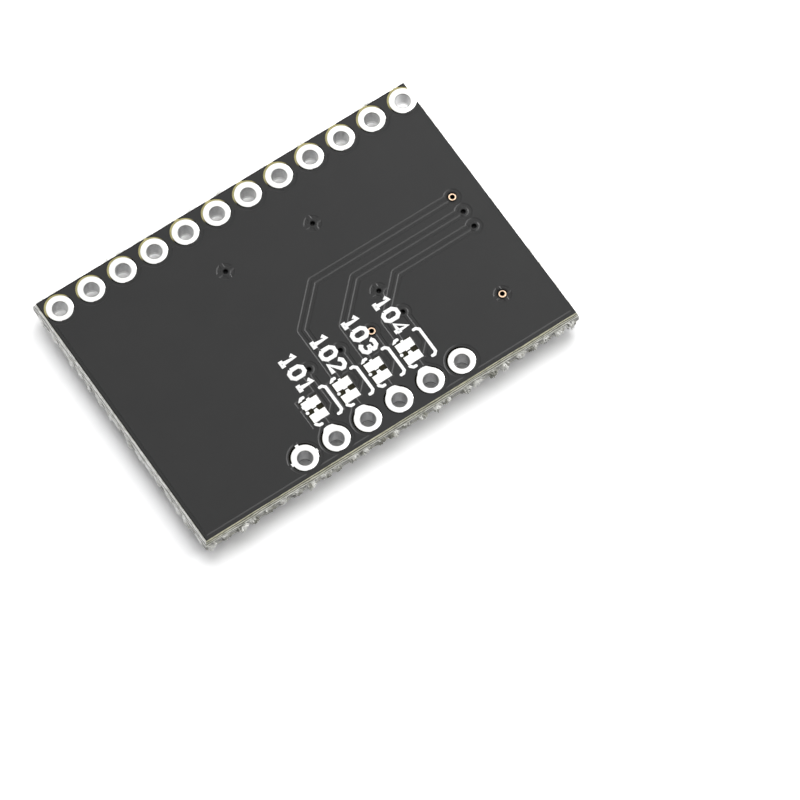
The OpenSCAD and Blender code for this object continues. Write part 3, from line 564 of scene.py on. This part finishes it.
def sloped_film(name, source, floor, crest, slope):
    """The film of one face, whose steps lean back over the copper by a slope's width."""
    same_height = 0.002 * MM
    end_zone = 14.4 * MM
    crease = math.radians(13)
    form = merged(source)
    form.normal_update()
    steps = [f for f in form.faces if abs(f.normal.z) < 0.1 and abs(
        max(abs(p.co.z - crest) for p in f.verts) - abs(crest - floor)) < same_height]
    ways = {}
    walls = []
    for face in steps:
        high = [p for p in face.verts if abs(p.co.z - crest) < same_height]
        for point in high:
            ways.setdefault(point, []).append(face.normal.xy)
        if len(high) == 2 and min(abs(p.co.x) for p in high) < end_zone:
            walls.append((*high[0].co.xy, *high[1].co.xy, *face.normal.xy))
    start = np.array([p.co.xy for p in ways])
    place = start.copy()
    for spot, (point, faces) in zip(place, ways.items()):
        first, last = min(((a, b) for a in faces for b in faces), key=lambda pair: pair[0].dot(pair[1]))
        mitre = (first + last) / max(0.1, 1 + first.dot(last))
        shift = mitre * min(1.0, 3.0 / mitre.length) * slope
        spot -= (0 if abs(point.co.x) > end_zone else shift.x, shift.y)
    hold_back(place, start, np.array(walls), slope)
    for point, spot in zip(ways, place):
        point.co.xy = spot
    mesh = bpy.data.meshes.new(name)
    form.to_mesh(mesh)
    form.free()
    mesh.attributes.remove(mesh.attributes["custom_normal"])
    mesh.set_sharp_from_angle(angle=crease)
    mesh.materials.clear()
    mesh.materials.append(lacquer)
    made = hold(name, mesh)
    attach(made, "root")
    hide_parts(source)


film_slope = 0.085 * MM
sloped_film("rear_lacquer", "rear_solder_mask", 2.540 * MM, 2.575 * MM, film_slope)
sloped_film("front_lacquer", "front_solder_mask", 0.890 * MM, 0.855 * MM, film_slope)

# Lacquer has run into the tented vias and set there, and closes each of them with a dark
# plug that is dished on top.
dish = [(0.149, 2.560), (0.13, 2.545), (0.11, 2.49), (0.09, 2.42), (0.04, 2.38)]
plug_foot = 2.35
sides = 16
pits = bmesh.new()


def ring_of_faces(upper, lower):
    """Faces that join two rings of points."""
    for k in range(sides):
        pits.faces.new((upper[k], upper[k - 1], lower[k - 1], lower[k]))


for x, y in tented_vias:
    angles = [math.tau * k / sides for k in range(sides)]
    rings = [[pits.verts.new(((x + r * math.cos(a)) * MM, (y + r * math.sin(a)) * MM, z * MM))
              for a in angles] for r, z in dish]
    for upper, lower in zip(rings, rings[1:]):
        ring_of_faces(upper, lower)
    pits.faces.new(rings[-1])
    foot = [pits.verts.new((v.co.x, v.co.y, plug_foot * MM)) for v in rings[0]]
    ring_of_faces(foot, rings[0])
    pits.faces.new(list(reversed(foot)))
pits.normal_update()
bmesh.ops.recalc_face_normals(pits, faces=pits.faces)
mesh = bpy.data.meshes.new("via_lacquer")
pits.to_mesh(mesh)
pits.free()
mesh.materials.append(lacquer)
plugs = hold("via_lacquer", mesh)
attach(plugs, "root")

# The terminals, the jumper pads and the bare lands are dipped in bright tin, which sets a
# little uneven: nearly a mirror on the rings and streaky down the holes. The walls of the holes
# are painted darker than the rings, and near black below the lip, as painted shade. At the foot,
# the far row's walls carry a painted reflection of the paper and the near row's a painted shadow.
tin, tree, shader = fresh("bright_tin", 0.3, 1.0)
ripple = clouds(tree, 4.0, 3, stretch=(1, 1, 0.35))
ring = shades(tree, ripple, (0.25, (0.88, 0.88, 0.86)), (0.6, (0.96, 0.96, 0.94)))
# Painted shade: upright tin, such as the walls of the holes, is darker than the rings.
wall = shades(tree, ripple, (0.3, (0.60, 0.60, 0.605)), (0.7, (0.76, 0.76, 0.76)))
spot = split(tree, in_mm(tree))
# Painted shadow near the foot of the near row's holes.
foot = spread(tree, spot[2], 1.0, 1.12, 1.0, 0.0)
foot = number(tree, "MULTIPLY", foot, number(tree, "LESS_THAN", spot[1], 0.0))
wall = either_colour(tree, foot, wall, (0.16, 0.16, 0.16, 1))
# Painted reflection of the paper near the foot of the far row's holes.
paper_reflection = spread(tree, spot[2], 1.14, 1.24, 1.0, 0.0)
paper_reflection = number(tree, "MULTIPLY", paper_reflection, number(tree, "GREATER_THAN", spot[1], 0.0))
wall = either_colour(tree, paper_reflection, wall, (0.97, 0.97, 0.97, 1))
# Painted shade under the lip of each hole.
lip_shade = spread(tree, spot[2], 2.38, 2.46, 0.0, 0.85)
wall = either_colour(tree, lip_shade, wall, (0.05, 0.05, 0.05, 1))
flat = spread(tree, facing(tree, 2), 0.15, 0.6)
tree.links.new(either_colour(tree, flat, wall, ring), shader.inputs["Base Color"])
relief(tree, shader, ripple, 0.02, 0.5)
tinned = ("touch_terminal_", "supply_terminal_", "solder_jumper_")
dress(tin, "front_lands", *[n for n in nodes if n.startswith(tinned)])

# White ink is printed over the lacquer: a bracket on each side of every jumper, and a
# plain number over each, read from the board's left side.
ink, tree, shader = fresh("white_ink", 0.6)
grain = clouds(tree, 12.0, 3)
paint(tree, shader, grain, (0.3, (0.90, 0.90, 0.89)), (0.7, (0.96, 0.96, 0.955)))
relief(tree, shader, grain, 0.01, 0.6)
dress(ink, "rear_legend")

strokes = {
    "0": [[(0, 0.22), (0, 0.78), (0.2, 1), (0.52, 1), (0.72, 0.78), (0.72, 0.22), (0.52, 0), (0.2, 0),
           (0, 0.22)]],
    "1": [[(0.1, 0.8), (0.38, 1), (0.38, 0)], [(0.1, 0), (0.66, 0)]],
    "2": [[(0, 0.8), (0.2, 1), (0.52, 1), (0.72, 0.8), (0.72, 0.62), (0, 0), (0.72, 0)]],
    "3": [[(0, 0.86), (0.2, 1), (0.52, 1), (0.72, 0.8), (0.72, 0.68), (0.5, 0.54), (0.28, 0.54)],
          [(0.5, 0.54), (0.72, 0.38), (0.72, 0.2), (0.52, 0), (0.2, 0), (0, 0.14)]],
    "4": [[(0.54, 0), (0.54, 1), (0, 0.3), (0.74, 0.3)]]}
jumper_x = -3.623
foot_shift = 0.05
digit_height = 1.02
digit_step = 1.07
first_digit_y = -2.20
ink_foot = 2.574
ink_flatness = 0.13
pen = bpy.data.curves.new("jumper_numbers", "CURVE")
pen.dimensions = "3D"
pen.bevel_depth = 0.168
pen.bevel_resolution = 3
pen.use_fill_caps = True
for jumper in range(4):
    for place, digit in enumerate("10" + str(jumper + 1)):
        for stroke in strokes[digit]:
            line = pen.splines.new("POLY")
            line.points.add(len(stroke) - 1)
            for point, (u, v) in zip(line.points, stroke):
                x = jumper_x + pitch * jumper - foot_shift + digit_height * v
                y = first_digit_y - digit_step * place - u
                point.co = (x, y, 0, 1)
drawn = hold("jumper_numbers_drawn", pen)
mesh = bpy.data.meshes.new_from_object(drawn)
bpy.data.objects.remove(drawn)
flatten = Matrix.Diagonal((MM, MM, ink_flatness * MM, 1))
mesh.transform(Matrix.Translation((0, 0, ink_foot * MM)) @ flatten)
mesh.materials.append(ink)
mesh.shade_smooth()
numbers = hold("jumper_numbers", mesh)
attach(numbers, "root")

# The sensor chip is moulded in black epoxy on a tinned lead frame, of which the contacts
# and the heat pad show flush with its underside and sides. It is soldered to its lands.
epoxy, tree, shader = fresh("moulded_epoxy", 0.6)
grit = clouds(tree, 25.0, 4)
paint(tree, shader, grit, (0.3, (0.022, 0.022, 0.023)), (0.7, (0.045, 0.045, 0.047)))
relief(tree, shader, grit, 0.01, 0.7)
dress(epoxy, "sensor_chip")
dress(tin, "chip_contacts", "chip_heat_pad")

# Three capacitors are bricks of fired tan ceramic, pressed from many thin layers. Their
# ends are dipped in metal and tinned, and soldered to the lands.
tan, tree, shader = fresh("tan_ceramic", 0.45)
cloud = clouds(tree, 7.0, 5)
paint(tree, shader, cloud, (0.3, (0.30, 0.20, 0.115)), (0.7, (0.42, 0.29, 0.175)))
relief(tree, shader, cloud, 0.01, 0.5)
dress(tan, *[n for n in nodes if n.startswith("capacitor_") and n.endswith("_body")])
dress(tin, *[n for n in nodes if n.endswith("_ends")])

# Five resistors are chips of white alumina, with a resistive film under a black glaze on
# the side away from the board, and tinned ends like those of the capacitors.
alumina, tree, shader = fresh("white_alumina", 0.5)
cloud = clouds(tree, 9.0, 4)
paint(tree, shader, cloud, (0.3, (0.74, 0.74, 0.71)), (0.7, (0.86, 0.86, 0.84)))
relief(tree, shader, cloud, 0.008, 0.5)
dress(alumina, *[n for n in nodes if n.startswith("resistor_") and n.endswith("_body")])
glaze, tree, shader = fresh("black_glaze", 0.22)
cloud = clouds(tree, 6.0, 3)
paint(tree, shader, cloud, (0.3, (0.012, 0.012, 0.014)), (0.7, (0.026, 0.026, 0.029)))
relief(tree, shader, cloud, 0.01, 0.4)
dress(glaze, *[n for n in nodes if n.endswith("_coat")])

# Reflowed solder, a tin alloy, joins every part to its lands. It has wetted the ends of
# the parts and set in hollow fillets, duller than the tin.
solder, tree, shader = fresh("reflowed_solder", 0.38, 1.0)
frost = clouds(tree, 10.0, 4)
paint(tree, shader, frost, (0.3, (0.62, 0.62, 0.62)), (0.7, (0.80, 0.80, 0.79)))
relief(tree, shader, frost, 0.01, 0.6)
dress(solder, "solder_fillets")

low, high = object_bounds()
